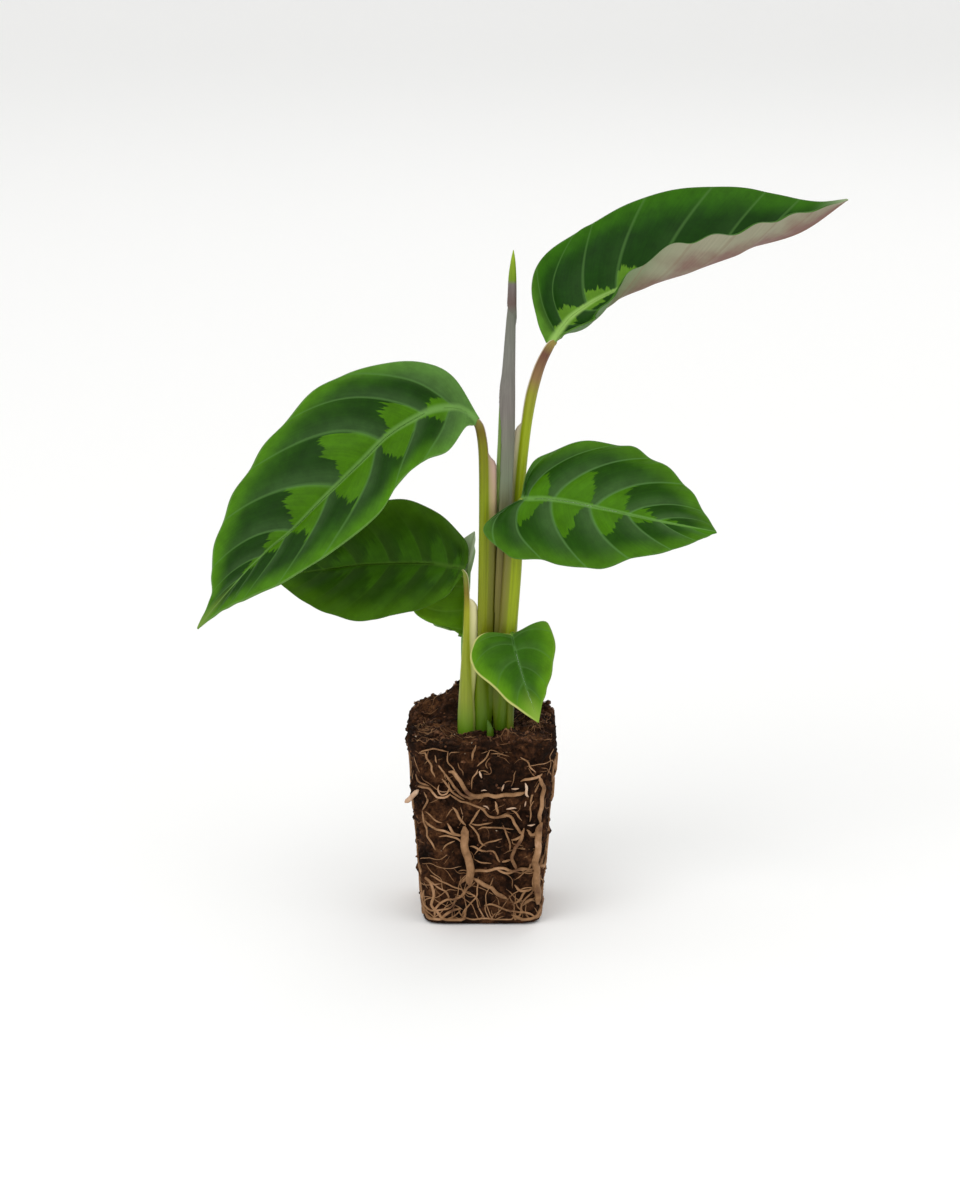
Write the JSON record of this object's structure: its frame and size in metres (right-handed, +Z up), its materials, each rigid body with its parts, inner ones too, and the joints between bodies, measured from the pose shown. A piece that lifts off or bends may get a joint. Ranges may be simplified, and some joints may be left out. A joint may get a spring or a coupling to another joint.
{
  "type": "calathea plug plant",
  "caption": "Young calathea with feathered oval leaves on upright stalks and a rolled spear leaf, on its bare tapered plug of peat and roots; it stands on its flat base.",
  "frame": {"origin": "centre of the root plug's flat base, on the surface that it stands on", "axes": "+Z up along the plant, -Y towards the front that the picture shows, +X to the picture's right"},
  "size_m": [0.1265, 0.0396, 0.1472],
  "materials": {
    "peat": "matte",
    "roots": "matte",
    "stalk": "satin",
    "leaf": "satin",
    "spear": "satin",
    "bud": "satin"
  },
  "bodies": {
    "root": {"soil_plug": "peat", "root_net": "roots", "stalk_1": "stalk", "stalk_2": "stalk", "stalk_3": "stalk", "stalk_4": "stalk", "stalk_5": "stalk", "stalk_6": "stalk", "leaf_1": "leaf", "leaf_2": "leaf", "leaf_3": "leaf", "leaf_4": "leaf", "leaf_5": "leaf", "leaf_6": "leaf", "spear_leaf": "spear", "bud": "bud"}
  },
  "joints": []
}
